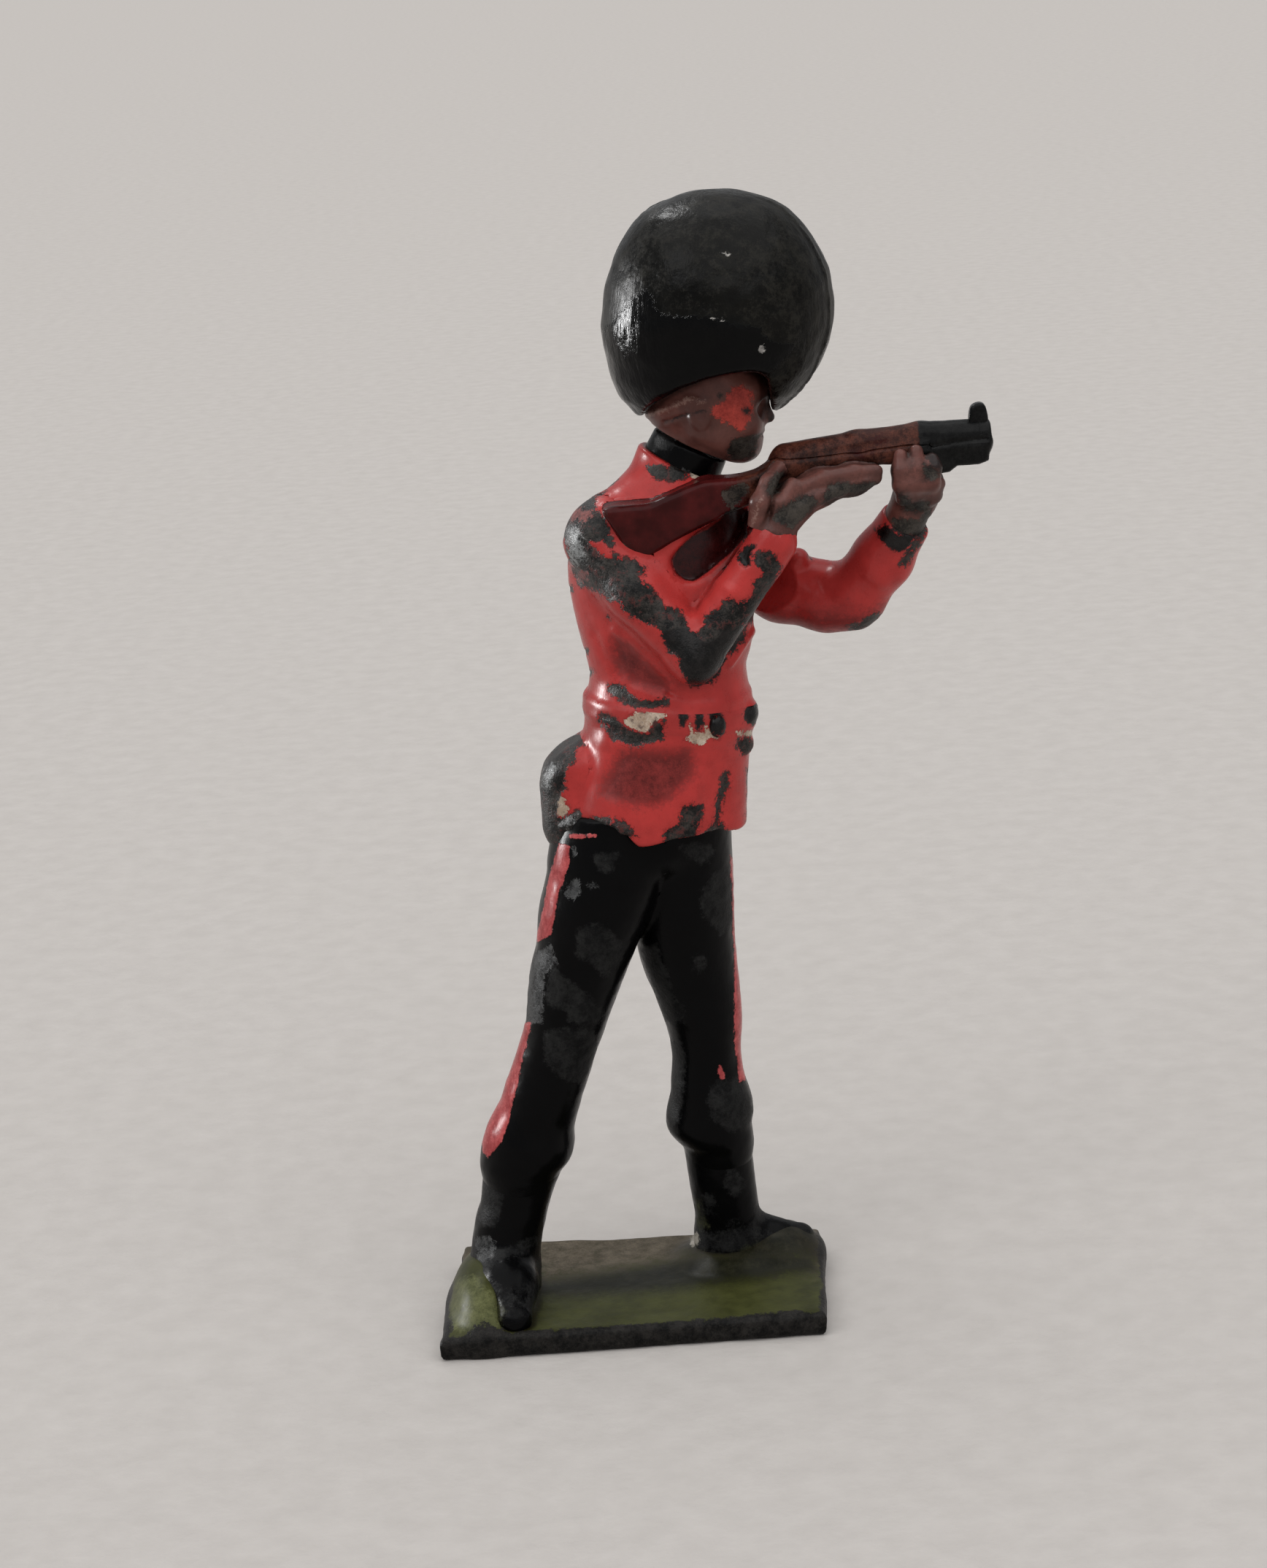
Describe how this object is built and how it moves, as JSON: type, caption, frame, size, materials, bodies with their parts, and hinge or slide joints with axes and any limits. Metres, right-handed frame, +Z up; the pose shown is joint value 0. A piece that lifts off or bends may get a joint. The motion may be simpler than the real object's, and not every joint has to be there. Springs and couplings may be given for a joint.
{
  "type": "toy soldier figure",
  "caption": "Painted cast-metal toy soldier in a tall fur cap and red tunic, standing on a small slab and aiming a rifle, with a turning head and a swinging left arm.",
  "frame": {"origin": "centre of the underside of the ground slab", "axes": "+Z up from the slab to the crown of the cap, +X the way the rifle points, -Y the figure's right-hand side"},
  "size_m": [0.0321, 0.0129, 0.0626],
  "materials": {
    "red_enamel": "gloss enamel, chipped",
    "black_enamel": "gloss enamel, chipped",
    "green_enamel": "gloss enamel, chipped",
    "flesh_enamel": "gloss enamel, worn",
    "brown_enamel": "gloss enamel, worn",
    "white_enamel": "gloss enamel, yellowed and chipped",
    "bare_metal": "dull grey oxidised casting metal"
  },
  "bodies": {
    "figure": {"base_plate": "green_enamel", "right_boot": "black_enamel", "left_boot": "black_enamel", "right_trouser_leg": "black_enamel", "left_trouser_leg": "black_enamel", "tunic_skirt": "red_enamel", "rear_pouch": "red_enamel", "waist_belt": "white_enamel", "belt_buckle": "white_enamel", "waist_tube": "bare_metal", "tunic_body": "red_enamel", "collar": "black_enamel", "neck_pin": "bare_metal", "right_arm": "red_enamel", "right_hand": "flesh_enamel", "right_shoulder_stud": "bare_metal", "left_shoulder_stud": "bare_metal", "rifle_stock": "brown_enamel", "rifle_barrel": "black_enamel", "nose_cap": "black_enamel", "front_sight": "black_enamel"},
    "head": {"head": "flesh_enamel", "bearskin_cap": "black_enamel"},
    "left_arm": {"left_arm": "red_enamel", "left_hand": "flesh_enamel"}
  },
  "joints": [
    {"name": "head_turn", "type": "hinge", "parent": "figure", "child": "head", "pos_m": [0.0055, 0, 0.0488], "axis": [0.4695, 0, 0.8829], "range_deg": [-90, 90]},
    {"name": "left_arm_swing", "type": "hinge", "parent": "figure", "child": "left_arm", "pos_m": [0.0076, 0.004, 0.0422], "axis": [0, 1, 0], "range_deg": [0, 45]}
  ]
}
